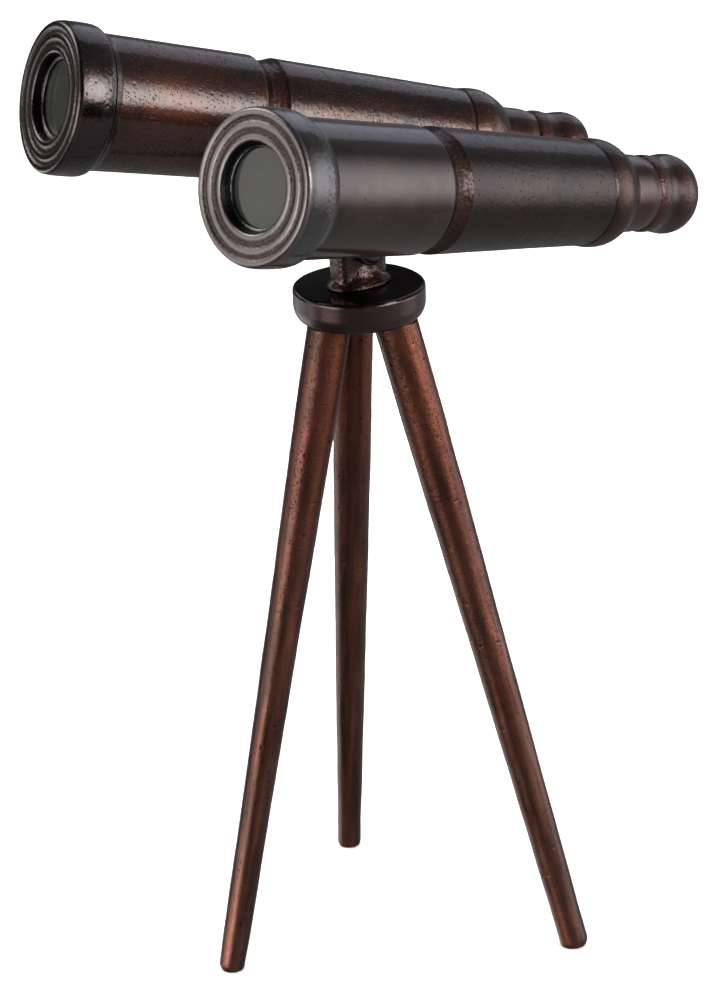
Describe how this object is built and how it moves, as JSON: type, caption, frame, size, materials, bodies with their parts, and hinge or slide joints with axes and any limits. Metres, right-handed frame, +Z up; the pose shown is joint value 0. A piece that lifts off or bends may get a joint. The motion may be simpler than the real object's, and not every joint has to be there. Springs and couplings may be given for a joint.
{
  "type": "tabletop tripod binoculars",
  "caption": "Pair of tapered cast-metal barrels on a turning, tilting head, standing on a round disc and straight tripod legs, with sliding eyepieces.",
  "frame": {"origin": "on the floor, under the centre of the bounding box; the post's axis is 20.8 mm ahead of it, towards -Y", "axes": "+Z up; objectives look towards -Y and eyepieces towards +Y; +X is the left hand of a person behind the eyepieces"},
  "size_m": [0.267, 0.3057, 0.4967],
  "materials": {
    "bronze_patina": "cast, dark bronze patina under clear lacquer",
    "leg_patina": "cast, red-brown patina with rubbed copper highlights",
    "black_lacquer": "cast, glossy near-black lacquer with a brown side wall",
    "brass": "turned, dull",
    "steel": "blackened",
    "felt": "pressed felt",
    "glass": "flat, smoky grey, polished"
  },
  "bodies": {
    "tripod": {"tripod_disc": "black_lacquer", "leg_front": "leg_patina", "leg_rear_left": "leg_patina", "leg_rear_right": "leg_patina", "leg_stud_front": "steel", "leg_stud_rear_left": "steel", "leg_stud_rear_right": "steel"},
    "swivel": {"post": "bronze_patina", "pan_bolt": "steel", "pan_bolt_washer": "steel", "pan_friction_washer": "brass"},
    "head": {"bridge": "bronze_patina", "tilt_bolt": "steel", "tilt_nut": "steel", "left_tilt_washer": "brass", "left_saddle": "bronze_patina", "left_saddle_pin": "steel", "left_saddle_screw_1": "steel", "left_saddle_screw_2": "steel", "left_objective_rim": "bronze_patina", "left_objective_glass": "glass", "left_objective_retainer": "brass", "left_front_tube": "bronze_patina", "left_rear_tube": "bronze_patina", "left_guide_ring": "felt", "right_tilt_washer": "brass", "right_saddle": "bronze_patina", "right_saddle_pin": "steel", "right_saddle_screw_1": "steel", "right_saddle_screw_2": "steel", "right_objective_rim": "bronze_patina", "right_objective_glass": "glass", "right_objective_retainer": "brass", "right_front_tube": "bronze_patina", "right_rear_tube": "bronze_patina", "right_guide_ring": "felt"},
    "left_eyepiece": {"left_draw_tube": "bronze_patina", "left_eyecup": "bronze_patina", "left_eye_lens": "glass", "left_eye_lens_ring": "brass"},
    "right_eyepiece": {"right_draw_tube": "bronze_patina", "right_eyecup": "bronze_patina", "right_eye_lens": "glass", "right_eye_lens_ring": "brass"}
  },
  "joints": [
    {"name": "head_pan", "type": "hinge", "parent": "tripod", "child": "swivel", "pos_m": [0, -0.0208, 0.357], "axis": [0, 0, 1], "continuous": true},
    {"name": "head_tilt", "type": "hinge", "parent": "swivel", "child": "head", "pos_m": [0, -0.0208, 0.3765], "axis": [-1, 0, 0], "range_deg": [-35, 30]},
    {"name": "left_focus", "type": "slide", "parent": "head", "child": "left_eyepiece", "axis": [-0.1668, 0.9501, -0.2635], "range_m": [-0.003, 0.012]},
    {"name": "right_focus", "type": "slide", "parent": "head", "child": "right_eyepiece", "axis": [0.1668, 0.9501, -0.2635], "range_m": [-0.003, 0.012]}
  ]
}
